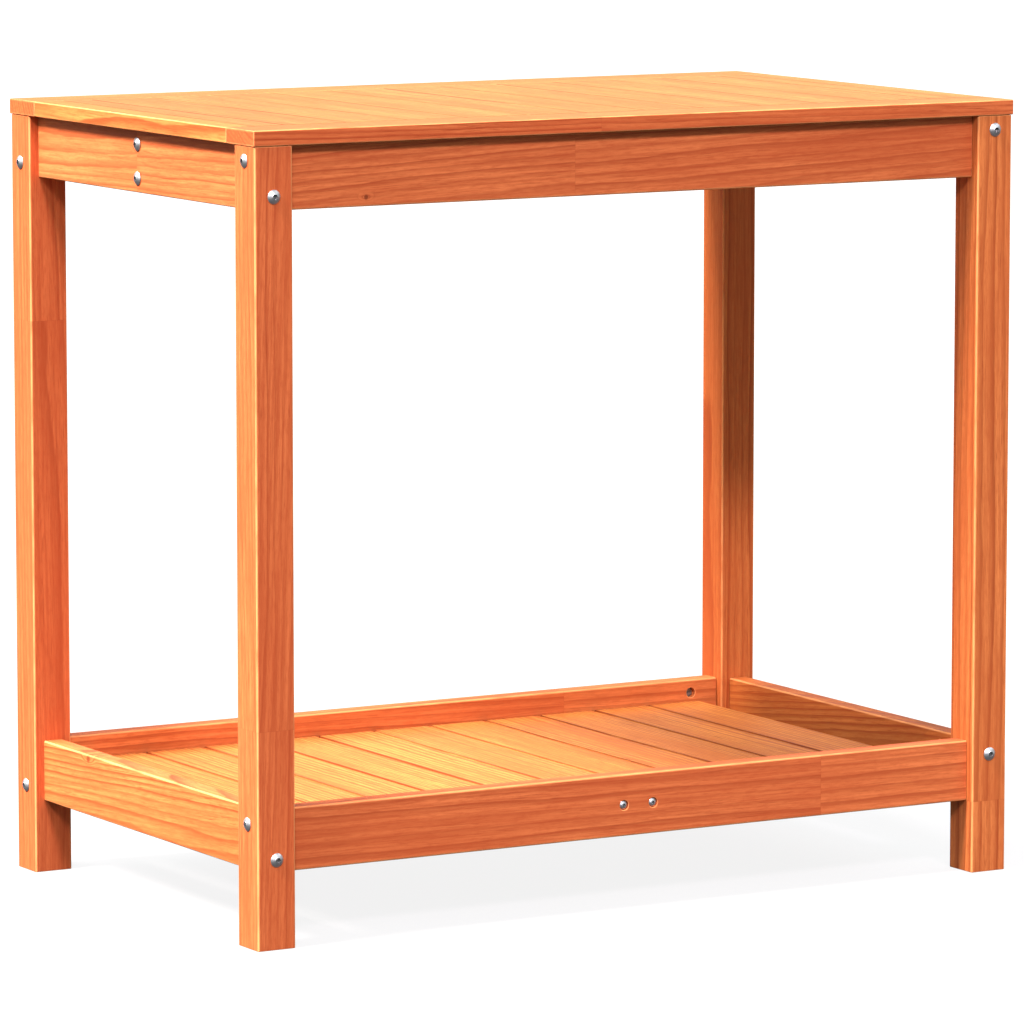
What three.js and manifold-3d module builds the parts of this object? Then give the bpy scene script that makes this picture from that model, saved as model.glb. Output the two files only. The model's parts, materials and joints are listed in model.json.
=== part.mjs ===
// Potting bench: a flat boarded worktop on four square legs, with aprons under the worktop and a
// slatted shelf in a frame of rails near the floor. It bolts together with barrel nuts.
// Millimetres, +Z up, +X along the length, +Y to the back. The origin is on the floor, under the
// middle of the worktop.

import * as THREE from "three";
import { mergeVertices } from "three/addons/utils/BufferGeometryUtils.js";
import Module from "manifold-3d";

const wasm = await Module();
wasm.setup();

// Overall sizes.
const LENGTH = 825;
const DEPTH = 500;
const HEIGHT = 750;
const OVERHANG = 1; // worktop past the outer faces of the legs, all round
const FIT_GAP = 0.3; // between pieces that touch

// Timber sections.
const LEG_WIDTH = 39;
const RAIL_HEIGHT = 59;
const RAIL_THICKNESS = 20;
const BOARD_THICKNESS = 14.5; // worktop boards and shelf slats
const BATTEN_WIDTH = 42; // under the worktop boards' ends
const BATTEN_THICKNESS = 18;
const LEDGER_WIDTH = 20; // under the shelf slats' ends
const EASED_EDGE = 2; // radius of the long edges
const TIGHT_EDGE = 0.8; // radius where worktop boards lie flush with each other

// Worktop and shelf layout.
const BOARD_PITCH = 64; // the same for the worktop's middle boards and the shelf slats
const BOARD_COUNT = 11;
const EDGE_BOARD_WIDTH = 54; // front and back boards of the worktop
const SLAT_WIDTH = 60;
const SHELF_RAIL_BOTTOM = 70;
const LEDGER_LENGTH = 644; // stops short of the barrel nuts

// Fastenings.
const BOLT_RISE = 16; // bolts lie this far above or below a rail's middle
const BOLT_RADIUS = 3;
const BOLT_LENGTH = 72; // under the head
const HEAD_RADIUS = 6.5;
const HEAD_RIM = 0.6;
const HEAD_HEIGHT = 3.2;
const SOCKET_RADIUS = 2.3; // across the corners of the hexagon
const SOCKET_DEPTH = 2;
const CLEAR_RADIUS = BOLT_RADIUS + FIT_GAP;
const BARREL_RADIUS = 5;
const BARREL_INSET = 31; // from a rail's end to its barrel nut
const BARREL_DEPTH = 16; // from a rail's inner face
const SCREW_RADIUS = 2.2;
const SCREW_HEAD_RADIUS = 4.6;
const SCREW_HEAD_DEPTH = 3;
const SCREW_PILOT_DEPTH = 40;
const HOLE_SIDES = 12;
const PAST = 1; // a cutter runs this far past the face that it enters

// Worked out from the sizes above.
const FRAME_X = LENGTH / 2 - OVERHANG; // outer faces of the legs
const FRAME_Y = DEPTH / 2 - OVERHANG;
const LEG_X = FRAME_X - LEG_WIDTH / 2; // middles of the legs, and of the rails between them
const LEG_Y = FRAME_Y - LEG_WIDTH / 2;
const LONG_SPAN = 2 * (FRAME_X - LEG_WIDTH);
const SHORT_SPAN = 2 * (FRAME_Y - LEG_WIDTH);
const INNER_X = LEG_X - RAIL_THICKNESS / 2; // inner faces of the rails
const INNER_Y = LEG_Y - RAIL_THICKNESS / 2;
const UNDERSIDE = HEIGHT - BOARD_THICKNESS;
const FRAME_TOP = UNDERSIDE - FIT_GAP;
const APRON_Z = FRAME_TOP - RAIL_HEIGHT / 2;
const SHELF_Z = SHELF_RAIL_BOTTOM + RAIL_HEIGHT / 2; // also the middle of the slats' thickness
const MIDDLE_WIDTH = BOARD_COUNT * BOARD_PITCH; // of the worktop, between its end boards
const MIDDLE_DEPTH = DEPTH - 2 * EDGE_BOARD_WIDTH; // between its front and back boards

const QUARTER = Math.PI / 2;
const PINE = { color: 0xdd8f50, roughness: 0.5, metalness: 0 };
const PALE_PINE = { color: 0xf3b068, roughness: 0.45, metalness: 0 };
const ZINC = { color: 0xc4c8cc, roughness: 0.25, metalness: 1 };

// A named mesh with a material of its own.
function piece(name, geometry, finish) {
  const mesh = new THREE.Mesh(geometry, new THREE.MeshStandardMaterial(finish));
  mesh.name = name;
  return mesh;
}

// A straight board along X, centred on its own origin, with its four long edges rounded.
function board(length, across, height, radius = EASED_EDGE) {
  const y = across / 2 - radius;
  const z = height / 2 - radius;
  const section = new THREE.Shape();
  section.absarc(y, z, radius, 0, QUARTER);
  section.absarc(-y, z, radius, QUARTER, 2 * QUARTER);
  section.absarc(-y, -z, radius, 2 * QUARTER, 3 * QUARTER);
  section.absarc(y, -z, radius, 3 * QUARTER, 4 * QUARTER);
  const geometry = new THREE.ExtrudeGeometry(section, {
    depth: length,
    bevelEnabled: false,
    curveSegments: 1,
  });
  const [x_axis, y_axis, z_axis] = [
    new THREE.Vector3(1, 0, 0),
    new THREE.Vector3(0, 1, 0),
    new THREE.Vector3(0, 0, 1),
  ];
  geometry.translate(0, 0, -length / 2);
  return geometry.applyMatrix4(new THREE.Matrix4().makeBasis(y_axis, z_axis, x_axis));
}

// A round cutter from one point to another.
function hole(radius, from, to) {
  const start = new THREE.Vector3(...from);
  const run = new THREE.Vector3(...to).sub(start);
  const cutter = new THREE.CylinderGeometry(radius, radius, run.length(), HOLE_SIDES);
  const up = new THREE.Vector3(0, 1, 0);
  cutter.applyQuaternion(
    new THREE.Quaternion().setFromUnitVectors(up, run.clone().normalize()),
  );
  const middle = start.addScaledVector(run, 0.5);
  return cutter.translate(middle.x, middle.y, middle.z);
}

function solidOf(geometry) {
  const bare = geometry.clone();
  bare.deleteAttribute("normal");
  bare.deleteAttribute("uv");
  const merged = mergeVertices(bare, 1e-3);
  return new wasm.Manifold(
    new wasm.Mesh({
      numProp: 3,
      vertProperties: merged.attributes.position.array,
      triVerts: new Uint32Array(merged.index.array),
    }),
  );
}

// The geometry with every cutter taken out of it.
function cut(geometry, cutters) {
  let solid = solidOf(geometry);
  for (const cutter of cutters) {
    solid = solid.subtract(solidOf(cutter));
  }
  const mesh = solid.getMesh();
  const result = new THREE.BufferGeometry();
  result.setAttribute("position", new THREE.BufferAttribute(mesh.vertProperties, 3));
  result.setIndex(new THREE.BufferAttribute(mesh.triVerts, 1));
  return result;
}

// The drillings in one end of a rail that lies along X with its inner face at +Y: a bore along
// the rail for the bolt, and a blind cross hole for its barrel nut. side is -1 or 1.
function endDrilling(length, side, z) {
  const end = (side * length) / 2;
  const barrel = end - side * (BARREL_INSET - FIT_GAP);
  return [
    hole(CLEAR_RADIUS, [end + side * PAST, 0, z], [barrel, 0, z]),
    hole(
      BARREL_RADIUS,
      [barrel, RAIL_THICKNESS / 2 + PAST, z],
      [barrel, RAIL_THICKNESS / 2 - BARREL_DEPTH, z],
    ),
  ];
}

// A rail or apron: its left-hand bolt is above the middle and its right-hand bolt below, so that
// the same piece fits on either side when it is turned round.
function railGeometry(length, extraHoles) {
  return cut(board(length, RAIL_THICKNESS, RAIL_HEIGHT), [
    ...endDrilling(length, -1, BOLT_RISE),
    ...endDrilling(length, 1, -BOLT_RISE),
    ...extraHoles,
  ]);
}

// Through holes for the two bolts that hold the centre stretcher, one above the other.
function stretcherBoltHoles() {
  const face = RAIL_THICKNESS / 2 + PAST;
  return [-BOLT_RISE, BOLT_RISE].map((z) => hole(CLEAR_RADIUS, [0, -face, z], [0, face, z]));
}

// Counterbored holes for the two screws that enter the end of the middle slat, side by side.
function slatScrewHoles() {
  const face = RAIL_THICKNESS / 2;
  return [-BOLT_RISE, BOLT_RISE].flatMap((x) => [
    hole(SCREW_RADIUS, [x, -face - PAST, 0], [x, face + PAST, 0]),
    hole(SCREW_HEAD_RADIUS, [x, -face - PAST, 0], [x, -face + SCREW_HEAD_DEPTH, 0]),
  ]);
}

// One side of the frame: an apron and a shelf rail. Side 0 is the front, and the others follow
// anticlockwise, each a quarter turn on, with the rails' inner faces towards the middle.
function frameSide(index, side) {
  const group = new THREE.Group();
  const isLong = index % 2 === 0;
  const length = (isLong ? LONG_SPAN : SHORT_SPAN) - 2 * FIT_GAP;
  const outwards = isLong ? LEG_Y : LEG_X;
  const apron = piece("apron_" + side, railGeometry(length, isLong ? [] : stretcherBoltHoles()), PINE);
  apron.position.set(0, -outwards, APRON_Z);
  const rail = piece("shelf_rail_" + side, railGeometry(length, isLong ? slatScrewHoles() : []), PINE);
  rail.position.set(0, -outwards, SHELF_Z);
  group.add(apron, rail);
  group.rotation.z = index * QUARTER;
  return group;
}

// A leg, upright, bored at both levels: above a rail's middle for the bolt that runs along X and
// below it for the bolt that runs along Y, as seen from the leg's own turned frame.
function legGeometry() {
  const leg = board(FRAME_TOP, LEG_WIDTH, LEG_WIDTH);
  leg.rotateY(-QUARTER);
  leg.translate(0, 0, FRAME_TOP / 2);
  const face = LEG_WIDTH / 2 + PAST;
  const bores = [APRON_Z, SHELF_Z].flatMap((z) => [
    hole(CLEAR_RADIUS, [-face, 0, z + BOLT_RISE], [face, 0, z + BOLT_RISE]),
    hole(CLEAR_RADIUS, [0, -face, z - BOLT_RISE], [0, face, z - BOLT_RISE]),
  ]);
  return cut(leg, bores);
}

// A bolt along +Y with its domed socket head below the XZ plane.
function boltGeometry() {
  const dome = HEAD_HEIGHT - HEAD_RIM;
  const curve = (HEAD_RADIUS ** 2 + dome ** 2) / (2 * dome);
  const halfAngle = Math.asin(HEAD_RADIUS / curve);
  const profile = [];
  for (const share of [0, 0.35, 0.7, 1]) {
    const angle = share * halfAngle;
    profile.push(
      new THREE.Vector2(curve * Math.sin(angle), -HEAD_HEIGHT + curve * (1 - Math.cos(angle))),
    );
  }
  profile.push(new THREE.Vector2(HEAD_RADIUS, 0));
  profile.push(new THREE.Vector2(BOLT_RADIUS, 0));
  profile.push(new THREE.Vector2(BOLT_RADIUS, BOLT_LENGTH));
  profile.push(new THREE.Vector2(0, BOLT_LENGTH));
  const socket = new THREE.CylinderGeometry(SOCKET_RADIUS, SOCKET_RADIUS, 2 * SOCKET_DEPTH, 6);
  socket.translate(0, -HEAD_HEIGHT, 0);
  return cut(new THREE.LatheGeometry(profile, HOLE_SIDES), [socket]);
}

// A leg with the four bolts whose heads show on it. Corner 0 is front left, and the others follow
// anticlockwise, each a quarter turn on.
function corner(index, name) {
  const group = new THREE.Group();
  group.add(piece("leg_" + name, legGeometry(), PINE));
  for (const [level, z] of [["apron", APRON_Z], ["shelf", SHELF_Z]]) {
    const upper = piece(level + "_bolt_" + name + "_upper", boltGeometry(), ZINC);
    upper.rotation.z = -QUARTER;
    upper.position.set(-LEG_WIDTH / 2 - FIT_GAP, 0, z + BOLT_RISE);
    const lower = piece(level + "_bolt_" + name + "_lower", boltGeometry(), ZINC);
    lower.position.set(0, -LEG_WIDTH / 2 - FIT_GAP, z - BOLT_RISE);
    group.add(upper, lower);
  }
  const toRight = index === 1 || index === 2 ? 1 : -1;
  const toBack = index >= 2 ? 1 : -1;
  group.position.set(toRight * LEG_X, toBack * LEG_Y, 0);
  group.rotation.z = index * QUARTER;
  return group;
}

// The stretcher on edge under the middle of the worktop, bolted through the side aprons.
function stretcher() {
  const length = 2 * (INNER_X - FIT_GAP);
  const drilling = [-1, 1].flatMap((side) => [
    ...endDrilling(length, side, BOLT_RISE),
    ...endDrilling(length, side, -BOLT_RISE),
  ]);
  const geometry = cut(board(length, RAIL_THICKNESS, RAIL_HEIGHT), drilling);
  const mesh = piece("centre_stretcher", geometry, PINE);
  mesh.position.z = APRON_Z;
  return mesh;
}

function worktop() {
  const group = new THREE.Group();
  for (const [name, toBack] of [["front", -1], ["back", 1]]) {
    const edge = piece(
      "worktop_board_" + name,
      board(LENGTH, EDGE_BOARD_WIDTH - FIT_GAP, BOARD_THICKNESS),
      PALE_PINE,
    );
    edge.position.y = (toBack * (DEPTH - EDGE_BOARD_WIDTH + FIT_GAP)) / 2;
    group.add(edge);
  }
  const endWidth = (LENGTH - MIDDLE_WIDTH) / 2 - FIT_GAP;
  for (const [name, toRight] of [["left", -1], ["right", 1]]) {
    const end = piece(
      "worktop_board_" + name,
      board(MIDDLE_DEPTH - FIT_GAP, endWidth, BOARD_THICKNESS, TIGHT_EDGE),
      PALE_PINE,
    );
    end.rotation.z = QUARTER;
    end.position.x = (toRight * (LENGTH - endWidth)) / 2;
    group.add(end);
  }
  for (let i = 0; i < BOARD_COUNT; i++) {
    const middle = piece(
      "worktop_board_" + String(i + 1).padStart(2, "0"),
      board(MIDDLE_DEPTH - FIT_GAP, BOARD_PITCH - FIT_GAP, BOARD_THICKNESS, TIGHT_EDGE),
      PALE_PINE,
    );
    middle.rotation.z = QUARTER;
    middle.position.x = (i - (BOARD_COUNT - 1) / 2) * BOARD_PITCH;
    group.add(middle);
  }
  group.position.z = HEIGHT - BOARD_THICKNESS / 2;
  return group;
}

// The battens under the ends of the worktop boards, against the long aprons.
function worktopBattens() {
  const group = new THREE.Group();
  for (const [name, toBack] of [["front", -1], ["back", 1]]) {
    const batten = piece(
      "worktop_batten_" + name,
      board(LONG_SPAN - 2 * FIT_GAP, BATTEN_WIDTH, BATTEN_THICKNESS),
      PINE,
    );
    batten.position.y = toBack * (INNER_Y - FIT_GAP - BATTEN_WIDTH / 2);
    group.add(batten);
  }
  group.position.z = FRAME_TOP - BATTEN_THICKNESS / 2;
  return group;
}

// The slats run from front to back. The middle one takes two screws in each end.
function shelfSlats() {
  const group = new THREE.Group();
  const length = 2 * (INNER_Y - FIT_GAP);
  const pilots = [-1, 1].flatMap((end) =>
    [-BOLT_RISE, BOLT_RISE].map((y) =>
      hole(
        SCREW_RADIUS,
        [end * (length / 2 + PAST), y, 0],
        [end * (length / 2 - SCREW_PILOT_DEPTH), y, 0],
      ),
    ),
  );
  for (let i = 0; i < BOARD_COUNT; i++) {
    const isMiddle = i === (BOARD_COUNT - 1) / 2;
    const plain = board(length, SLAT_WIDTH, BOARD_THICKNESS);
    const slat = piece(
      "shelf_slat_" + String(i + 1).padStart(2, "0"),
      isMiddle ? cut(plain, pilots) : plain,
      PALE_PINE,
    );
    slat.rotation.z = QUARTER;
    slat.position.x = (i - (BOARD_COUNT - 1) / 2) * BOARD_PITCH;
    group.add(slat);
  }
  group.position.z = SHELF_Z;
  return group;
}

// The ledgers that carry the slats' ends, against the long shelf rails.
function shelfLedgers() {
  const group = new THREE.Group();
  for (const [name, toBack] of [["front", -1], ["back", 1]]) {
    const ledger = piece(
      "shelf_ledger_" + name,
      board(LEDGER_LENGTH, LEDGER_WIDTH, LEDGER_WIDTH),
      PINE,
    );
    ledger.position.y = toBack * (INNER_Y - FIT_GAP - LEDGER_WIDTH / 2);
    group.add(ledger);
  }
  group.position.z = SHELF_Z - BOARD_THICKNESS / 2 - FIT_GAP - LEDGER_WIDTH / 2;
  return group;
}

const bench = new THREE.Group();
["front_left", "front_right", "back_right", "back_left"].forEach((name, index) => {
  bench.add(corner(index, name));
});
["front", "right", "back", "left"].forEach((name, index) => {
  bench.add(frameSide(index, name));
});
bench.add(stretcher(), worktop(), worktopBattens(), shelfSlats(), shelfLedgers());

export default bench;
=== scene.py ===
"""Looks of the potting bench: waxed pine boards, domed bolts, barrel nuts and slat screws."""

import json
import math
import random

import bmesh
import bpy
from mathutils import Matrix, Vector

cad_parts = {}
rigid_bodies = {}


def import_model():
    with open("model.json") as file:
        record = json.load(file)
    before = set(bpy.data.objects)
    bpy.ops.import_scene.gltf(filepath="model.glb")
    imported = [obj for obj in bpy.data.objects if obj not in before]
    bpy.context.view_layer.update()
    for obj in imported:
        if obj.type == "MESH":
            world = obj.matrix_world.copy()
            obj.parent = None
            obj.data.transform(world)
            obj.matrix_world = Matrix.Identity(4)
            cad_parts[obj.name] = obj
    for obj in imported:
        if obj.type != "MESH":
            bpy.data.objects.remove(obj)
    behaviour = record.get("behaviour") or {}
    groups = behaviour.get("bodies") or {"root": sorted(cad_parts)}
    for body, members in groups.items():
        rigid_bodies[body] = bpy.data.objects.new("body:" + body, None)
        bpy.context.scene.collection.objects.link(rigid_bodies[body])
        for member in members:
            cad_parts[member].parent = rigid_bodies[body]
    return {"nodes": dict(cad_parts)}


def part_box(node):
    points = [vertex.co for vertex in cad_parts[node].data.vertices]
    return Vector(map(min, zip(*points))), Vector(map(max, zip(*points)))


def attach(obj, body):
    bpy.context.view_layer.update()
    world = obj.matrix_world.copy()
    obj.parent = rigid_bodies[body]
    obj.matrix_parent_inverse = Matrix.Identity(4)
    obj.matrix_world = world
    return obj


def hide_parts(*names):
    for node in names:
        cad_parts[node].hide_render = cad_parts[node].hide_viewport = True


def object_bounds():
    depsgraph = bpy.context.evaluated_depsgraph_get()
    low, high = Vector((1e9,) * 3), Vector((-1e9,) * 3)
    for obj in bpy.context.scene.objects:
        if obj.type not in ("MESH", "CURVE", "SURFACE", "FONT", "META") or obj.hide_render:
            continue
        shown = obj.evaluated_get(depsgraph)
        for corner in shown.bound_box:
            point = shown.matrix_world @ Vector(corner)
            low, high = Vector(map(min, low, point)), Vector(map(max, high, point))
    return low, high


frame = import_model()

cad_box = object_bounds()
nodes = frame["nodes"]

MM = 0.001

# Timber.
EASED_EDGE = 2 * MM  # radius of the long edges
TIGHT_EDGE = 1.2 * MM  # the same on the boards of the worktop
SLAT_EDGE = 1.1 * MM  # and on the slats of the shelf
END_EDGE = 0.7 * MM  # radius round a board's ends
ARC_STEPS = 4  # along each rounded edge
SLIVER = 0.0005 * MM  # edges this short are left over from a cut
FIT_GAP = 0.3 * MM  # between pieces that touch
END_STRIP_WIDTH = 30 * MM  # of the strip along either end of the worktop

# Drilling.
BORE_RADIUS = 3.3 * MM
BARREL_HOLE_RADIUS = 5 * MM
BARREL_HOLE_DEPTH = 16 * MM  # from a rail's inner face
BARREL_INSET = 30.7 * MM  # from a rail's end to the middle of its barrel nut
HOLE_EASE = 0.9 * MM  # rounding of a hole's mouth
FASTENER_RISE = 16 * MM  # from a board's middle to either of a pair of fasteners
SCREW_HOLE_RADIUS = 2.2 * MM
COUNTERBORE_RADIUS = 4.6 * MM
COUNTERBORE_DEPTH = 2.2 * MM
PILOT_DEPTH = 40 * MM  # in the end of the slat
LEG_DRILL_DEPTH = 60 * MM  # goes right through a leg or an apron
RAIL_DRILL_DEPTH = 30 * MM  # goes right through a rail
POINT_SLOPE = 0.2  # height of the cone at a hole's end, as a share of its radius

# Bolts.
HEAD_HEIGHT = 3.2 * MM
HEAD_RIM = 0.6 * MM
HEAD_RADIUS = 6.5 * MM
HEAD_UNDERCUT = 0.25 * MM  # how much narrower a head is where it meets the wood
SHANK_RADIUS = 3 * MM
THREAD_DEPTH = 0.5 * MM
THREAD_PITCH = 1.0 * MM
THREAD_LENGTH = 20 * MM
BOLT_OVERRUN = 3 * MM  # past the middle of its barrel nut
SOCKET_FLAT = 2.4 * MM  # from the middle of the hexagon to a flat
SOCKET_DEPTH = 2.0 * MM
SOCKET_RIM = 0.55 * MM  # flat ring between the hexagon and the dome
SOCKET_CHAMFER = 0.2 * MM
SOCKET_CONE = 0.5 * MM  # how far the socket's floor dips in its middle

# Barrel nuts.
NUT_RADIUS = 4.8 * MM
NUT_LENGTH = 10 * MM
NUT_CHAMFER = 0.5 * MM
NUT_SLOT_WIDTH = 1.2 * MM
NUT_SLOT_DEPTH = 1.5 * MM

# Slat screws.
SCREW_HEAD_HEIGHT = 2.0 * MM
SCREW_HEAD_RIM = 0.7 * MM
SCREW_HEAD_RADIUS = 3.9 * MM
SCREW_SOCKET_FLAT = 1.5 * MM
SCREW_SOCKET_DEPTH = 1.3 * MM
SCREW_SOCKET_RIM = 0.45 * MM
SCREW_LENGTH = 50 * MM
SCREW_NECK_RADIUS = 1.6 * MM
SCREW_NECK_LENGTH = 12 * MM
SCREW_THREAD_RADIUS = 2.0 * MM
SCREW_THREAD_PITCH = 1.8 * MM
SCREW_THREAD_DEPTH = 0.6 * MM
SCREW_POINT = 4 * MM

FINE = 48  # sides of what shows
COARSE = 24  # sides of what is sunk in the wood
DOME_STEPS = 8
HEX = True  # marks a ring of a turned profile as a hexagon


# Meshes ---------------------------------------------------------------------------------------


def piece_object(name, bm):
    """Makes an object from a bmesh, which it frees."""
    bmesh.ops.recalc_face_normals(bm, faces=bm.faces)
    mesh = bpy.data.meshes.new(name)
    bm.to_mesh(mesh)
    bm.free()
    obj = bpy.data.objects.new(name, mesh)
    bpy.context.scene.collection.objects.link(obj)
    return obj


def smooth(obj, sharp_degrees=32):
    """Rounds the shading over eased edges and keeps flat faces flat."""
    obj.data.polygons.foreach_set("use_smooth", [True] * len(obj.data.polygons))
    obj.data.set_sharp_from_angle(angle=math.radians(sharp_degrees))
    weighted = obj.modifiers.new("flat faces", "WEIGHTED_NORMAL")
    weighted.keep_sharp = True


def towards(point, direction):
    """The place of a turned piece: its origin at point and its +Z along direction."""
    turn = Vector(direction).to_track_quat("Z", "Y").to_matrix().to_4x4()
    return Matrix.Translation(point) @ turn


def turned(profile, sides, place):
    """A bmesh turned about +Z from (height, radius) points, or (height, flat, HEX) for a hexagon."""
    bm = bmesh.new()
    rings = []
    for height, radius, *shape in profile:
        if radius == 0:
            rings.append([bm.verts.new(place @ Vector((0, 0, height)))])
            continue
        ring = []
        for side in range(sides):
            angle = 2 * math.pi * side / sides
            reach = radius
            if shape:
                reach = radius / math.cos(angle % (math.pi / 3) - math.pi / 6)
            spot = Vector((reach * math.cos(angle), reach * math.sin(angle), height))
            ring.append(bm.verts.new(place @ spot))
        rings.append(ring)
    for one, other in zip(rings, rings[1:]):
        for side in range(sides):
            corners = [one[side % len(one)], one[(side + 1) % len(one)]]
            corners += [other[(side + 1) % len(other)], other[side % len(other)]]
            bm.faces.new(list(dict.fromkeys(corners)))
    return bm


def section(half_width, half_height, radius):
    """The outline of a board's rounded section, anticlockwise."""
    outline = []
    for quarter in range(4):
        corner_x = (half_width - radius) * (1 if quarter in (0, 3) else -1)
        corner_y = (half_height - radius) * (1 if quarter in (0, 1) else -1)
        for step in range(ARC_STEPS + 1):
            angle = math.pi / 2 * (quarter + step / ARC_STEPS)
            outline.append((corner_x + radius * math.cos(angle), corner_y + radius * math.sin(angle)))
    return outline


def board_axes(low, high):
    """A board's axes, the longest first. Sizes within 0.1 mm of each other count as the same."""
    sizes = high - low
    return sorted(range(3), key=lambda axis: (-round(sizes[axis], 4), axis))


def board_bmesh(low, high, radius):
    """A board that fills the box, with rounded long edges and eased ends."""
    along, across, deep = board_axes(low, high)
    middle = (low + high) / 2
    half = (high - low) / 2
    stations = [(radius + END_EDGE, 0)]  # how far in from the sides, and how far from the end
    for step in range(ARC_STEPS):
        angle = math.pi / 2 * step / (ARC_STEPS - 1)
        stations.append((END_EDGE * (1 - math.sin(angle)), END_EDGE * (1 - math.cos(angle))))
    ends = [(-half[along] + run, inset) for inset, run in stations]
    ends += [(-spot, inset) for spot, inset in reversed(ends)]
    bm = bmesh.new()
    rings = []
    for spot, inset in ends:
        ring = []
        for x, y in section(half[across] - inset, half[deep] - inset, max(radius - inset, END_EDGE / 4)):
            place = Vector(middle)
            place[along] += spot
            place[across] += x
            place[deep] += y
            ring.append(bm.verts.new(place))
        rings.append(ring)
    count = len(rings[0])
    for one, other in zip(rings, rings[1:]):
        for i in range(count):
            j = (i + 1) % count
            bm.faces.new([one[i], one[j], other[j], other[i]])
    bm.faces.new(list(reversed(rings[0])))
    bm.faces.new(rings[-1])
    return bm


def cut(obj, cutters):
    """Takes the cutters' shapes out of obj, clears slivers away, and removes the cutters."""
    group = bpy.data.collections.new("cutters")
    for cutter in cutters:
        bpy.context.scene.collection.objects.unlink(cutter)
        group.objects.link(cutter)
    boolean = obj.modifiers.new("cut", "BOOLEAN")
    boolean.operand_type = "COLLECTION"
    boolean.collection = group
    boolean.operation = "DIFFERENCE"
    boolean.solver = "EXACT"
    bpy.context.view_layer.update()
    shape = obj.evaluated_get(bpy.context.evaluated_depsgraph_get())
    bm = bmesh.new()
    bm.from_mesh(bpy.data.meshes.new_from_object(shape))
    bmesh.ops.dissolve_degenerate(bm, edges=bm.edges, dist=SLIVER)
    obj.modifiers.clear()
    bm.to_mesh(obj.data)
    bm.free()
    for cutter in list(group.objects):
        bpy.data.objects.remove(cutter)
    bpy.data.collections.remove(group)


# Wood figure ----------------------------------------------------------------------------------


NOWHERE = 9.0  # past the end of any board, m


class Figure:
    """How a board was sawn from its log, which sets the lines on each of its faces."""

    def __init__(self, name, **chosen):
        """Draws what isn't chosen from the board's own name, so each run gives the same."""
        draw = random.Random(name)
        side = draw.choice((-1, 1))
        self.pith = (side * draw.uniform(45, 90), draw.uniform(-45, 45))  # from the middle, mm
        self.slope = (draw.uniform(-0.012, 0.012), draw.uniform(-0.02, 0.02))
        self.ring = draw.uniform(4, 6.5)  # between growth rings, mm
        self.start = draw.uniform(0, 40)  # along the log, m
        self.tone = draw.uniform(-0.5, 0.5)
        self.contrast = draw.uniform(0.6, 1)
        self.gold = 0  # how yellow the wood is, 0 to 1
        if name.startswith(("shelf_slat", "worktop")):
            self.tone *= 0.3
            self.contrast = 1.35
            self.gold = 0.75 if name.startswith("shelf_slat") else 0.15
        self.joint = NOWHERE  # where a finger joint is, along the board from its middle, m
        self.knot = (NOWHERE / MM, NOWHERE / MM, 1)  # along, across and radius, mm
        self.__dict__.update(chosen)


def store(mesh, name, values):
    """Keeps a number or a vector for each vertex, for the material to read."""
    is_vector = len(values) and hasattr(values[0], "__len__")
    kind, field = ("FLOAT_VECTOR", "vector") if is_vector else ("FLOAT", "value")
    attribute = mesh.attributes.new(name, kind, "POINT")
    flat = [number for value in values for number in value] if is_vector else values
    attribute.data.foreach_set(field, flat)


def store_figure(obj, low, high, radius, figure, mouths, rim):
    """Gives each vertex its place in the log, and says how far it lies on an edge or an end.

    An edge is worn and pale, which also paints a highlight along it, but inside the rim, where boards
    meet, it gets painted shade instead.
    """
    axes = board_axes(low, high)
    middle = (low + high) / 2
    half = (high - low) / 2
    knot_along, knot_across, knot_radius = figure.knot
    spots, logs, knots, edges, painted_gap_shade, ends = [], [], [], [], [], []
    for vertex in obj.data.vertices:
        along, across, deep = ((vertex.co - middle)[axis] for axis in axes)
        spots.append(along)
        logs.append(
            (
                along + figure.start,
                across - figure.pith[0] * MM + along * figure.slope[0],
                deep - figure.pith[1] * MM + along * figure.slope[1],
            )
        )
        knots.append(
            (
                (along / MM - knot_along) / knot_radius,
                (across / MM - knot_across) / knot_radius,
                0,
            )
        )
        rounding = (END_EDGE, radius, radius)
        past = [
            max(0.0, (abs((vertex.co - middle)[axis]) - half[axis] + size) / size)
            for axis, size in zip(axes, rounding)
        ]
        edge = 2 * max(past[0] * past[1], past[1] * past[2], past[2] * past[0])
        # a hole's eased mouth counts as a worn edge, which also paints a highlight round it
        for mouth, direction, hole in mouths:
            away = vertex.co - mouth
            off = (away - direction * away.dot(direction)).length
            if hole * 1.02 < off < (hole + HOLE_EASE) * 0.98 and abs(away.dot(direction)) < HOLE_EASE:
                edge = 1
        # inside the rim, edges where boards meet get painted shade
        inside = all(abs(vertex.co[axis]) < rim[axis] - radius for axis in (0, 1))
        edges.append(0 if inside else min(edge, 1))
        painted_gap_shade.append(min(edge, 1) if inside else 0)
        ends.append(min(past[0], 1))
    store(obj.data, "along", spots)
    store(obj.data, "log_place", logs)
    store(obj.data, "knot", knots)
    store(obj.data, "edge", edges)
    store(obj.data, "painted_gap_shade", painted_gap_shade)
    store(obj.data, "end_grain", ends)
    count = len(spots)
    for label in ("ring", "tone", "gold", "contrast", "joint"):
        store(obj.data, label, [getattr(figure, label)] * count)


# Materials ------------------------------------------------------------------------------------


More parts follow.
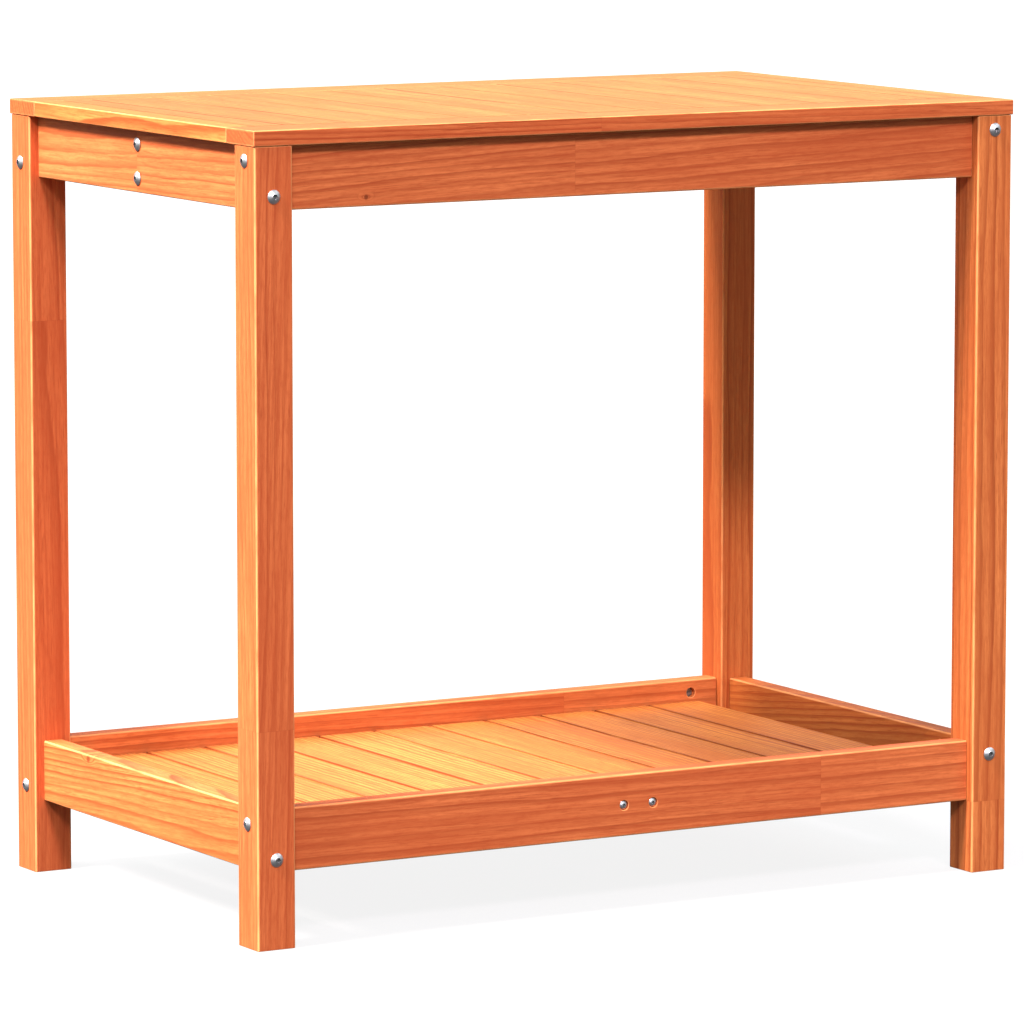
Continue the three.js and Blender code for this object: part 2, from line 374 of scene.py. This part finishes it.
class Shader:
    """A node material, with short calls for the nodes used here."""

    def __init__(self, name):
        self.material = bpy.data.materials.new(name)
        self.material.use_nodes = True
        self.tree = self.material.node_tree
        self.tree.nodes.clear()

    def add(self, kind, inputs=(), **settings):
        """Adds a node. An input is another node's socket, or a constant."""
        node = self.tree.nodes.new(kind)
        for key, value in settings.items():
            setattr(node, key, value)
        for key, value in dict(inputs).items():
            if isinstance(value, bpy.types.NodeSocket):
                self.tree.links.new(value, node.inputs[key])
            else:
                node.inputs[key].default_value = value
        return node

    def math(self, operation, *values):
        inputs = dict(enumerate(values))
        return self.add("ShaderNodeMath", inputs, operation=operation).outputs[0]

    def vector(self, operation, *values, scale=None):
        inputs = dict(enumerate(values))
        if scale is not None:
            inputs["Scale"] = scale
        node = self.add("ShaderNodeVectorMath", inputs, operation=operation)
        return node.outputs["Value" if operation == "LENGTH" else "Vector"]

    def number(self, name):
        """A number that the mesh keeps for each vertex."""
        node = self.add("ShaderNodeAttribute", attribute_name=name, attribute_type="GEOMETRY")
        return node.outputs["Fac"]

    def place(self, name):
        """A vector that the mesh keeps for each vertex."""
        node = self.add("ShaderNodeAttribute", attribute_name=name, attribute_type="GEOMETRY")
        return node.outputs["Vector"]

    def noise(self, place, stretch, detail=2.0, roughness=0.5):
        """Noise from 0 to 1 with stretch features to the metre along each axis."""
        spread = self.vector("MULTIPLY", place, stretch)
        inputs = {"Vector": spread, "Scale": 1.0, "Detail": detail, "Roughness": roughness}
        return self.add("ShaderNodeTexNoise", inputs).outputs["Fac"]

    def ramp(self, value, start, end, low=0.0, high=1.0):
        """Eases from low at start to high at end, and stays there."""
        inputs = {"Value": value, "From Min": start, "From Max": end, "To Min": low, "To Max": high}
        node = self.add("ShaderNodeMapRange", inputs, interpolation_type="SMOOTHSTEP")
        return node.outputs["Result"]

    def mix(self, share, one, other, blend="MIX"):
        node = self.add("ShaderNodeMix", data_type="RGBA", blend_type=blend, clamp_factor=True)
        for socket, value in ((node.inputs[0], share), (node.inputs[6], one), (node.inputs[7], other)):
            if isinstance(value, bpy.types.NodeSocket):
                self.tree.links.new(value, socket)
            else:
                socket.default_value = value
        return node.outputs[2]

    def finish(self, inputs):
        surface = self.add("ShaderNodeBsdfPrincipled", inputs)
        output = self.add("ShaderNodeOutputMaterial")
        self.tree.links.new(surface.outputs["BSDF"], output.inputs["Surface"])
        return self.material


def rgb(red, green, blue):
    return (red, green, blue, 1.0)


EARLYWOOD = rgb(0.67, 0.180, 0.056)
LATEWOOD = rgb(0.31, 0.048, 0.014)
RING_LINE = rgb(0.20, 0.028, 0.007)
DARK_FIBRE = rgb(0.37, 0.060, 0.017)
PALE_HAIR = rgb(0.69, 0.25, 0.08)
PORE = rgb(0.36, 0.055, 0.015)
FLECK = rgb(0.22, 0.032, 0.009)
CLOUD = rgb(0.42, 0.070, 0.020)
DARK_BOARD = rgb(0.38, 0.055, 0.016)
PALE_BOARD = rgb(0.70, 0.22, 0.065)
GOLDEN = rgb(0.95, 1.35, 0.95)  # multiplies the wood's colour
KNOT_WOOD = rgb(0.15, 0.026, 0.008)
# pale wear on edges, which is also a painted highlight along eased edges and hole mouths
WORN_EDGE_AND_HIGHLIGHT = rgb(0.95, 0.48, 0.18)
# painted shade for the edges in the gaps between boards
PAINTED_GAP_SHADE = rgb(0.12, 0.018, 0.006)
END_GRAIN = rgb(0.3, 0.05, 0.015)
GLUE_LINE = rgb(0.22, 0.035, 0.011)


def pine(name):
    """Waxed pine: growth rings through the whole board, fibres, flecks, knots and finger joints."""
    s = Shader(name)
    along = s.number("along")
    joint = s.number("joint")
    past_joint = s.math("GREATER_THAN", along, joint)
    other_log = s.vector("SCALE", (7.3, 0.013, -0.019), scale=past_joint)
    log = s.vector("ADD", s.place("log_place"), other_log)

    # Knots push the rings aside.
    knot = s.place("knot")
    knot_reach = s.vector("LENGTH", s.vector("MULTIPLY", knot, (0.22, 0.5, 0)))
    knot_push = s.ramp(knot_reach, 0, 1, 0.011, 0)
    rough_edge = s.math("MULTIPLY", s.noise(log, (150, 400, 400)), 0.5)
    knot_core = s.ramp(s.math("ADD", s.vector("LENGTH", knot), rough_edge), 0.8, 1.5, 1, 0)

    # Growth rings about the pith, each of a strength of its own, with a thin line at its dark end.
    from_pith = s.vector("LENGTH", s.vector("MULTIPLY", log, (0, 1, 1)))
    drift = s.math("MULTIPLY_ADD", s.noise(log, (1.6, 14, 14), 2), 0.022, knot_push)
    flutter = s.math("MULTIPLY_ADD", s.noise(log, (13, 48, 48), 3), 0.0032, drift)
    spacing = s.math("MULTIPLY", s.number("ring"), MM)
    rings = s.math("DIVIDE", s.math("ADD", from_pith, flutter), spacing)
    phase = s.math("FRACT", rings)
    whole = s.math("FLOOR", rings)
    each = s.add("ShaderNodeTexWhiteNoise", {"W": whole}, noise_dimensions="1D").outputs["Value"]
    rise = s.ramp(phase, 0.3, 0.9)
    line = s.ramp(phase, 0.7, 0.9)
    fall = s.ramp(phase, 0.9, 1.0, 1, 0)
    strength = s.math("MULTIPLY", s.ramp(each, 0, 1, 0.35, 1), s.number("contrast"))
    latewood = s.math("MULTIPLY", s.math("MULTIPLY", rise, fall), strength)
    line = s.math("MULTIPLY", s.math("MULTIPLY", line, fall), strength)

    # Fibres, and short dark flecks along them.
    fibre = s.noise(log, (7, 330, 330), 4, 0.65)
    hair = s.noise(log, (26, 2000, 2000), 2, 0.6)
    fleck = s.ramp(s.noise(log, (30, 800, 800), 2), 0.58, 0.7)
    fleck = s.math("MULTIPLY", fleck, s.ramp(s.noise(log, (6, 70, 70), 2), 0.4, 0.65, 0.25, 1))
    fleck = s.math("MULTIPLY", fleck, s.number("contrast"))
    cloud = s.noise(log, (3.2, 26, 26), 3)
    pores = s.noise(log, (70, 520, 520), 4, 0.7)

    wood = s.mix(latewood, EARLYWOOD, LATEWOOD)
    wood = s.mix(s.math("MULTIPLY", line, 0.45), wood, RING_LINE)
    fibre_shade = s.ramp(fibre, 0.3, 0.7)
    wood = s.mix(s.math("MULTIPLY", fibre_shade, 0.65), wood, DARK_FIBRE)
    wood = s.mix(s.ramp(hair, 0.35, 0.7, 0, 0.16), wood, PALE_HAIR)
    wood = s.mix(s.ramp(pores, 0.42, 0.68, 0, 0.4), wood, PORE)
    wood = s.mix(s.math("MULTIPLY", fleck, 0.6), wood, FLECK)
    wood = s.mix(s.ramp(cloud, 0.35, 0.75, 0, 0.5), wood, CLOUD)

    # Each board has a tone of its own, on a few boards set darker as painted shade, and a finger joint
    # starts a slightly paler length.
    piece_tone = s.math("MULTIPLY_ADD", past_joint, -0.2, s.number("tone"))
    wood = s.mix(s.ramp(piece_tone, 0, 1, 0, 0.35), wood, DARK_BOARD)
    wood = s.mix(s.ramp(piece_tone, -1, 0, 0.35, 0), wood, PALE_BOARD)
    # gold yellows the wood; on some pieces it is also painted light and shade
    wood = s.mix(s.number("gold"), wood, GOLDEN, "MULTIPLY")
    wood = s.mix(s.math("MULTIPLY", knot_core, 0.8), wood, KNOT_WOOD)

    # Worn edges are paler, which also paints a highlight along them; edges between boards get painted
    # shade, and the stain is deep in the end grain.
    wear_and_highlight = s.ramp(s.noise(log, (30, 60, 60)), 0.25, 0.6, 0.2, 0.5)
    wood = s.mix(s.math("MULTIPLY", s.number("edge"), wear_and_highlight), wood, WORN_EDGE_AND_HIGHLIGHT)
    # painted shade along edges where boards meet
    wood = s.mix(s.math("MULTIPLY", s.number("painted_gap_shade"), 0.95), wood, PAINTED_GAP_SHADE)
    wood = s.mix(s.math("MULTIPLY", s.number("end_grain"), 0.4), wood, END_GRAIN)
    from_joint = s.math("ABSOLUTE", s.math("SUBTRACT", along, joint))
    wood = s.mix(s.ramp(from_joint, 0.2 * MM, 0.6 * MM, 0.12, 0), wood, GLUE_LINE)

    roughness = s.math("MULTIPLY_ADD", hair, 0.16, s.ramp(latewood, 0, 1, 0.5, 0.42))
    height = s.math("MULTIPLY_ADD", fibre, 0.35, s.math("MULTIPLY", hair, 0.4))
    height = s.math("MULTIPLY_ADD", latewood, 0.35, height)
    height = s.math("MULTIPLY_ADD", fleck, -0.5, height)
    bump = s.add("ShaderNodeBump", {"Strength": 0.35, "Distance": 0.25 * MM, "Height": height})
    return s.finish(
        {
            "Base Color": wood,
            "Roughness": roughness,
            "Normal": bump.outputs["Normal"],
            "Specular IOR Level": 0.1,
        }
    )


def zinc(name, colour, shine):
    """Plated steel with fine scuffs, a little tarnish, and painted shade in its recesses."""
    s = Shader(name)
    spot = s.add("ShaderNodeTexCoord").outputs["Object"]
    tarnish = s.noise(spot, (260, 260, 260), 3)
    scuff = s.noise(spot, (1400, 1400, 5200), 2)
    tint = s.mix(s.ramp(tarnish, 0.35, 0.75, 0, 0.5), colour, rgb(*(0.6 * part for part in colour[:3])))
    # painted shade: near black down in the socket and where the head meets the wood
    tint = s.mix(s.math("MULTIPLY", s.number("painted_recess_shade"), 0.8), tint, rgb(0.05, 0.047, 0.043))
    roughness = s.math("MULTIPLY_ADD", tarnish, 0.2, s.ramp(scuff, 0.3, 0.8, shine, shine + 0.12))
    bump = s.add("ShaderNodeBump", {"Strength": 0.2, "Distance": 0.05 * MM, "Height": scuff})
    return s.finish(
        {
            "Base Color": tint,
            "Metallic": 1.0,
            "Roughness": roughness,
            "Normal": bump.outputs["Normal"],
        }
    )


WOOD = pine("waxed pine")
BOLT_STEEL = zinc("zinc plated bolt", rgb(0.64, 0.65, 0.67), 0.24)
NUT_STEEL = zinc("dull barrel nut", rgb(0.3, 0.29, 0.27), 0.4)


# Pieces ---------------------------------------------------------------------------------------


def hole_cutter(mouth, direction, depth, radius, ease=0.0):
    """A cutter that enters at mouth. Its mouth is flared where ease is the rounding's radius."""
    past = 2 * MM
    profile = [(-past, 0), (-past, radius + ease)]
    if ease:
        for step in range(ARC_STEPS + 1):
            angle = math.pi / 2 * step / ARC_STEPS
            profile.append((ease * (1 - math.cos(angle)), radius + ease * (1 - math.sin(angle))))
    profile += [(depth, radius), (depth + radius * POINT_SLOPE, 0)]
    return piece_object("cutter", turned(profile, COARSE, towards(mouth, direction)))


def finish_piece(obj, material, slot, *replaced):
    """Gives the piece its material and its place in the frame."""
    obj.data.materials.clear()
    obj.data.materials.append(material)
    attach(obj, "root")
    if replaced:
        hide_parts(*replaced)


def thread(start, end, radius, pitch, depth):
    """Profile points of a screw thread, crest and root in turn."""
    points = []
    turns = int((end - start) / pitch)
    for turn in range(turns):
        points.append((start + turn * pitch, radius))
        points.append((start + (turn + 0.5) * pitch, radius - depth))
    return points


def dome(height, rim, radius, start):
    """Profile points of a domed head whose underside is at 0, from radius start out to its rim."""
    rise = height - rim
    curve = (radius**2 + rise**2) / (2 * rise)
    points = []
    for step in range(DOME_STEPS + 1):
        reach = start + (radius - start) * step / DOME_STEPS
        points.append((-height + curve - math.sqrt(curve**2 - reach**2), reach))
    return points + [(-rim / 2, radius), (0, radius - HEAD_UNDERCUT)]


def hex_socket(top, flat, depth):
    """Profile points of a hexagon socket, from the middle of its floor out to its chamfered mouth."""
    return [
        (top + depth + SOCKET_CONE, 0),
        (top + depth, flat, HEX),
        (top + SOCKET_CHAMFER, flat, HEX),
    ]


def store_painted_recess_shade(obj, seat, direction, top, socket):
    """Marks where shade is painted: down in the socket, and where the head meets the wood."""
    corner = 1.2 * socket  # a little past the hexagon's corners
    mouth = top + 1.5 * SOCKET_CHAMFER
    values = []
    for vertex in obj.data.vertices:
        away = vertex.co - seat
        depth = away.dot(direction)
        off = (away - direction * depth).length
        in_socket = off < corner and mouth < depth < 0
        values.append(1.0 if in_socket or abs(depth) < 0.1 * MM else 0.0)
    store(obj.data, "painted_recess_shade", values)


def make_bolt(name, seat, direction, length, *replaced):
    """A domed socket-head bolt whose head sits at seat, with its shank along direction."""
    profile = hex_socket(-HEAD_HEIGHT, SOCKET_FLAT, SOCKET_DEPTH)
    profile += dome(HEAD_HEIGHT, HEAD_RIM, HEAD_RADIUS, SOCKET_FLAT + SOCKET_RIM)
    profile += [(0, SHANK_RADIUS), (length - THREAD_LENGTH - MM, SHANK_RADIUS)]
    profile += thread(length - THREAD_LENGTH, length - MM, SHANK_RADIUS, THREAD_PITCH, THREAD_DEPTH)
    profile += [(length, SHANK_RADIUS - 2 * THREAD_DEPTH), (length, 0)]
    obj = piece_object(name, turned(profile, FINE, towards(seat, direction)))
    store_painted_recess_shade(obj, seat, direction, -HEAD_HEIGHT, SOCKET_FLAT)
    smooth(obj)
    finish_piece(obj, BOLT_STEEL, "bolt_steel", *replaced)


def make_screw(name, seat, direction):
    """A slat screw with a low socket head and a pointed, coarse-threaded shank."""
    dome_start = SCREW_SOCKET_FLAT + SCREW_SOCKET_RIM
    profile = hex_socket(-SCREW_HEAD_HEIGHT, SCREW_SOCKET_FLAT, SCREW_SOCKET_DEPTH)
    profile += dome(SCREW_HEAD_HEIGHT, SCREW_HEAD_RIM, SCREW_HEAD_RADIUS, dome_start)
    profile += [(0, SCREW_NECK_RADIUS), (SCREW_NECK_LENGTH, SCREW_NECK_RADIUS)]
    profile += thread(
        SCREW_NECK_LENGTH + MM,
        SCREW_LENGTH - SCREW_POINT,
        SCREW_THREAD_RADIUS,
        SCREW_THREAD_PITCH,
        SCREW_THREAD_DEPTH,
    )
    profile += [(SCREW_LENGTH, 0)]
    obj = piece_object(name, turned(profile, FINE, towards(seat, direction)))
    store_painted_recess_shade(obj, seat, direction, -SCREW_HEAD_HEIGHT, SCREW_SOCKET_FLAT)
    smooth(obj)
    finish_piece(obj, BOLT_STEEL, "bolt_steel")


def nut_mesh():
    """A barrel nut about +Z with a slot across its upper end, bored along X for its bolt."""
    end = NUT_LENGTH / 2
    profile = [(-end, 0), (-end, NUT_RADIUS - NUT_CHAMFER), (-end + NUT_CHAMFER, NUT_RADIUS)]
    profile += [(-height, radius) for height, radius in reversed(profile)]
    nut = piece_object("barrel nut", turned(profile, COARSE, Matrix()))
    reach = NUT_RADIUS + MM
    clear = SHANK_RADIUS + 0.1 * MM
    bore = [(-reach, 0), (-reach, clear), (reach, clear), (reach, 0)]
    cutters = [piece_object("cutter", turned(bore, COARSE, towards((0, 0, 0), (1, 0, 0))))]
    slot = bmesh.new()
    size = Matrix.Diagonal((2 * reach, NUT_SLOT_WIDTH, 2 * NUT_SLOT_DEPTH, 1))
    bmesh.ops.create_cube(slot, size=1, matrix=Matrix.Translation((0, 0, end)) @ size)
    cutters.append(piece_object("cutter", slot))
    cut(nut, cutters)
    mesh = nut.data
    bpy.data.objects.remove(nut)
    return mesh


NUT = nut_mesh()
drills = {}  # for each wooden piece: mouth, direction, depth, radius and easing of each hole


def drill(piece, mouth, direction, depth, radius, ease=0.0):
    """Notes a hole, which is cut when the piece is made."""
    drills.setdefault(piece, []).append((Vector(mouth), Vector(direction), depth, radius, ease))


def axis_vector(axis, sign):
    """The unit vector along that axis, or against it."""
    direction = Vector((0, 0, 0))
    direction[axis] = sign
    return direction


def on_face(point, box, axis, sign):
    """The point moved along axis to the face of the box on that side."""
    moved = Vector(point)
    moved[axis] = box[1][axis] if sign > 0 else box[0][axis]
    return moved


def fasten(name, seat, direction, length, outer, inner, nut_axis, nut_side, *replaced):
    """Bolts the outer piece to the end of the inner one, where a barrel nut lies in a cross hole.

    The cross hole enters the inner piece along nut_axis, from the side that nut_side says.
    """
    axis = max(range(3), key=lambda i: abs(direction[i]))
    sign = 1 if direction[axis] > 0 else -1
    make_bolt("steel_" + name, seat, direction, length, *replaced)
    outer_box, inner_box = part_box(outer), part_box(inner)
    drill(outer, on_face(seat, outer_box, axis, -sign), direction, LEG_DRILL_DEPTH, BORE_RADIUS)
    end = on_face(seat, inner_box, axis, -sign)
    barrel = end + direction * BARREL_INSET
    drill(inner, end, direction, BARREL_INSET, BORE_RADIUS)
    into = axis_vector(nut_axis, -nut_side)
    mouth = on_face(barrel, inner_box, nut_axis, nut_side)
    drill(inner, mouth, into, BARREL_HOLE_DEPTH, BARREL_HOLE_RADIUS, HOLE_EASE)
    mesh = NUT.copy()
    upright = -into
    turn = Matrix((direction, upright.cross(direction), upright)).transposed().to_4x4()
    mesh.transform(Matrix.Translation(barrel) @ turn)
    nut = bpy.data.objects.new("steel_" + name.replace("bolt", "barrel_nut"), mesh)
    bpy.context.scene.collection.objects.link(nut)
    smooth(nut)
    finish_piece(nut, NUT_STEEL, "bolt_steel")


def rail_round(point):
    """The apron or shelf rail that the point is inside."""
    for name in nodes:
        if name.startswith(("apron_", "shelf_rail_")) and "_bolt_" not in name:
            low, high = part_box(name)
            if all(low[i] < point[i] < high[i] for i in range(3)):
                return name
    raise ValueError(f"no rail round {point}")


def leg_bolts():
    """The four bolts of each leg. A head is at the end of its bolt that is further out."""
    for name in sorted(nodes):
        if "_bolt_" not in name:
            continue
        low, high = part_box(name)
        middle = (low + high) / 2
        axis = board_axes(low, high)[0]
        out = 1 if middle[axis] > 0 else -1
        direction = axis_vector(axis, -out)
        seat = on_face(middle, (low, high), axis, out) + direction * HEAD_HEIGHT
        length = (high - low)[axis] - HEAD_HEIGHT
        corner = name.split("_bolt_")[1].rsplit("_", 1)[0]
        rail = rail_round(seat + direction * (length - MM))
        rail_low, rail_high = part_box(rail)
        thin = board_axes(rail_low, rail_high)[2]
        nut_side = -1 if (rail_low + rail_high)[thin] > 0 else 1
        fasten(name, seat, direction, length, "leg_" + corner, rail, thin, nut_side, name)


def stretcher_bolts():
    """Two bolts through each side apron into the end of the centre stretcher."""
    low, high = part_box("centre_stretcher")
    middle = (low + high) / 2
    for side, sign in (("left", -1), ("right", 1)):
        apron_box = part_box("apron_" + side)
        face = on_face(middle, apron_box, 0, sign)
        thickness = apron_box[1].x - apron_box[0].x
        for level, rise in (("upper", 1), ("lower", -1)):
            seat = face + Vector((sign * FIT_GAP, 0, rise * FASTENER_RISE))
            fasten(
                f"stretcher_bolt_{side}_{level}",
                seat,
                Vector((-sign, 0, 0)),
                thickness + BARREL_INSET + BOLT_OVERRUN,
                "apron_" + side,
                "centre_stretcher",
                1,
                1,
            )


def slat_screws():
    """Two recessed screws side by side through each long shelf rail into the middle slat."""
    slat_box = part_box("shelf_slat_06")
    middle = (slat_box[0] + slat_box[1]) / 2
    for side, sign in (("front", -1), ("back", 1)):
        rail = "shelf_rail_" + side
        inwards = Vector((0, -sign, 0))
        for place, shift in (("left", -1), ("right", 1)):
            line = middle + Vector((shift * FASTENER_RISE, 0, 0))
            face = on_face(line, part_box(rail), 1, sign)
            drill(rail, face, inwards, COUNTERBORE_DEPTH, COUNTERBORE_RADIUS, HOLE_EASE)
            drill(rail, face, inwards, RAIL_DRILL_DEPTH, SCREW_HOLE_RADIUS)
            slat_end = on_face(line, slat_box, 1, sign)
            drill("shelf_slat_06", slat_end, inwards, PILOT_DEPTH, SCREW_HOLE_RADIUS)
            seat = face + inwards * COUNTERBORE_DEPTH
            make_screw(f"steel_slat_screw_{side}_{place}", seat, inwards)


FIGURES = {  # what shows most is chosen, and the rest is drawn from the piece's name
    "leg_front_left": {
        "pith": (62, 48), "slope": (-0.034, 0.006), "ring": 4.6, "joint": -0.165, "tone": 0.65,
        "contrast": 0.65,
    },
    # its gold partly stands in for the less red light on its shaded inner face
    "leg_front_right": {
        "pith": (-58, 40), "slope": (0.006, 0.02), "ring": 7.5, "joint": -0.298, "tone": -0.1,
        "gold": 0.3, "contrast": 1,
    },
    # its darkest tone and its gold are partly painted shade: they stand in for the dim, less red light
    # under the worktop
    "leg_back_right": {
        "pith": (75, 20), "slope": (0.002, 0.01), "ring": 7.8, "tone": 1, "gold": 0.5,
        "contrast": 1,
    },
    "leg_back_left": {
        "pith": (-30, 62), "slope": (0.01, -0.008), "ring": 7, "joint": 0.17, "tone": 0.9,
        "contrast": 0.6,
    },
    "apron_front": {
        "pith": (-52, 48), "slope": (-0.03, 0.01), "ring": 6.5, "joint": -0.0705,
        "knot": (-291.7, -21, 2.5), "tone": 0.2, "contrast": 0.65,
    },
    "apron_left": {
        "pith": (60, 45), "slope": (0.025, 0.01), "ring": 6.5, "joint": 0.0019, "tone": 0,
        "contrast": 0.75,
    },
    "worktop_end_strip_left": {
        "gold": 0.5,
    },
    "worktop_board_front": {
        "pith": (-50, 70), "slope": (0.01, 0.012), "ring": 5, "joint": -0.0484, "tone": 0.55,
        "gold": 0.05, "contrast": 1.2,
    },
    "shelf_rail_front": {
        "pith": (-80, 50), "slope": (0.012, 0.004), "ring": 9, "joint": 0.204, "tone": 0,
        "contrast": 0.7,
    },
    "shelf_rail_left": {
        "pith": (-44, 24), "slope": (0.07, 0.02), "ring": 5.5, "knot": (113.7, 26, 4), "tone": 0,
        "gold": 0.25, "contrast": 1.1,
    },
    # its darkest tone and its gold are partly painted shade on its inner face, which lies in shade
    "shelf_rail_right": {
        "pith": (-24, -20), "slope": (0.11, -0.02), "ring": 7, "tone": 1, "gold": 0.75,
        "contrast": 1.3,
    },
    "shelf_rail_back": {
        "pith": (-70, 50), "slope": (0.01, 0.004), "ring": 8, "joint": 0.19, "tone": -0.1,
        "gold": 0.2, "contrast": 0.7,
    },
}
# The right-hand slats, where the worktop's shadow falls, are made yellower and brighter: painted light
# that lifts that shade.
for number in range(7, 12):
    FIGURES[f"shelf_slat_{number:02}"] = {"gold": 1}


def make_board(name, low, high, node):
    """A wooden piece in place of its CAD node, or of part of it."""
    in_worktop = name.startswith("worktop_") and "batten" not in name
    radius, rim = EASED_EDGE, (0, 0)
    if name.startswith("shelf_slat"):
        radius, rim = SLAT_EDGE, cad_box[1]
    elif in_worktop:
        radius = TIGHT_EDGE
        rim = (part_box("worktop_board_right")[1].x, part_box("worktop_board_back")[1].y)
    obj = piece_object("pine_" + name, board_bmesh(low, high, radius))
    holes = drills.get(name, [])
    if holes:
        cut(obj, [hole_cutter(*hole) for hole in holes])
    mouths = [(mouth, way, size) for mouth, way, _, size, ease in holes if ease]
    figure = Figure(name, **FIGURES.get(name, {}))
    store_figure(obj, low, high, radius, figure, mouths, rim)
    smooth(obj)
    finish_piece(obj, WOOD, "worktop_pine" if in_worktop else "frame_pine", node)


def make_boards():
    """Every wooden piece. The end boards of the worktop are an end strip and a narrow board each."""
    for node in sorted(nodes):
        if "_bolt_" in node:
            continue
        low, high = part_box(node)
        if node not in ("worktop_board_left", "worktop_board_right"):
            make_board(node, low, high, node)
            continue
        side = node.rsplit("_", 1)[1]
        out = -1 if side == "left" else 1
        joint = on_face(low, (low, high), 0, out).x - out * END_STRIP_WIDTH
        near, far = Vector(high), Vector(low)
        near.x = joint - FIT_GAP / 2
        far.x = joint + FIT_GAP / 2
        halves = [("end_strip", low, near), ("narrow_board", far, high)]
        if out > 0:
            halves = [("narrow_board", low, near), ("end_strip", far, high)]
        for label, corner, opposite in halves:
            make_board(f"worktop_{label}_{side}", corner, opposite, node)


# Studio ---------------------------------------------------------------------------------------


FLOOR_REACH = 150  # from the middle to a side, m


def studio_floor():
    """A pale floor that glows a little, so that only a faint shadow shows on it."""
    bm = bmesh.new()
    bmesh.ops.create_grid(bm, x_segments=1, y_segments=1, size=FLOOR_REACH)
    floor = piece_object("floor", bm)
    floor.location.z = cad_box[0].z
    s = Shader("pale floor")
    spot = s.add("ShaderNodeTexCoord").outputs["Object"]
    mottle = s.ramp(s.noise(spot, (3, 3, 3), 3), 0.3, 0.7)
    shade = s.mix(mottle, rgb(0.05, 0.05, 0.05), rgb(0.06, 0.06, 0.06))
    floor.data.materials.append(
        s.finish(
            {
                "Base Color": shade,
                "Roughness": 0.9,
                "Emission Color": rgb(1, 1, 1),
                "Emission Strength": 0.87,
            }
        )
    )
    floor.visible_diffuse = False
    floor.visible_glossy = False


def sun(name, heading, height, strength, softness, colour):
    """A light from that compass heading (0 is the front, 90 the right) and height, in degrees.

    Its softness is how wide it looks, in degrees.
    """
    light = bpy.data.lights.new(name, "SUN")
    light.energy = strength
    light.color = colour
    light.angle = math.radians(softness)
    lamp = bpy.data.objects.new(name, light)
    bpy.context.scene.collection.objects.link(lamp)
    turn, rise = math.radians(heading), math.radians(height)
    source = Vector((math.sin(turn) * math.cos(rise), -math.cos(turn) * math.cos(rise), math.sin(rise)))
    lamp.rotation_euler = (-source).to_track_quat("-Z", "Y").to_euler()


# How bright the studio is at each height: 0 is level, 1 overhead. It is white just round the level.
SKY = (
    (-0.04, 0.14), (-0.024, 1.1), (0.08, 1.1), (0.09, 0.32), (0.3, 0.55), (0.42, 1.45), (0.7, 1.45),
    (0.85, 0.3),
)


def studio_light():
    """A strong soft light from the left, weaker ones from the front, and a banded sky."""
    warm = (1.0, 0.91, 0.86)
    rosy = (1.0, 0.84, 0.93)
    sun("key from the left", -90, 49.5, 13.6, 16, warm)
    sun("left edge of the key", -125, 50, 1.6, 20, warm)
    sun("front light", -14, 38.8, 2.3, 9, rosy)
    sun("front light, left side", -36, 34.3, 0.9, 9, rosy)
    sun("right fill", 95, 38, 0.4, 20, rosy)
    world = bpy.data.worlds.new("studio")
    bpy.context.scene.world = world
    world.use_nodes = True
    tree = world.node_tree
    direction = tree.nodes.new("ShaderNodeTexCoord")
    parts = tree.nodes.new("ShaderNodeSeparateXYZ")
    tree.links.new(direction.outputs["Generated"], parts.inputs["Vector"])
    share = tree.nodes.new("ShaderNodeMapRange")
    share.inputs["From Min"].default_value = -1
    tree.links.new(parts.outputs["Z"], share.inputs["Value"])
    bands = tree.nodes.new("ShaderNodeValToRGB")
    tree.links.new(share.outputs["Result"], bands.inputs["Fac"])
    ramp = bands.color_ramp
    ramp.elements.remove(ramp.elements[1])
    ramp.elements[0].color = rgb(0.14, 0.14, 0.14)
    for height, glow in SKY:
        ramp.elements.new((height + 1) / 2).color = rgb(0.92 * glow, glow, 1.04 * glow)
    tree.links.new(bands.outputs["Color"], tree.nodes["Background"].inputs["Color"])


CAMERA_HEADING = -30.210  # degrees, from the front towards the left
CAMERA_RISE = 7.456  # degrees
CAMERA_DISTANCE = 6.429  # m
CAMERA_LENS = 233.4  # mm
CAMERA_AIM = (0.0009, -0.0005, 0.3498)  # m
CAMERA_CLIP = (0.1, 400)  # m


def studio_camera():
    """A long lens that looks down a little at the bench from its front left."""
    data = bpy.data.cameras.new("camera")
    data.lens = CAMERA_LENS
    data.clip_start, data.clip_end = CAMERA_CLIP
    camera = bpy.data.objects.new("camera", data)
    bpy.context.scene.collection.objects.link(camera)
    turn, rise = math.radians(CAMERA_HEADING), math.radians(CAMERA_RISE)
    back = Vector((math.sin(turn) * math.cos(rise), -math.cos(turn) * math.cos(rise), math.sin(rise)))
    camera.location = Vector(CAMERA_AIM) + back * CAMERA_DISTANCE
    camera.rotation_euler = (-back).to_track_quat("-Z", "Y").to_euler()
    bpy.context.scene.camera = camera


leg_bolts()
stretcher_bolts()
slat_screws()
make_boards()
studio_floor()
studio_light()
studio_camera()
bpy.context.scene.view_settings.view_transform = "Standard"
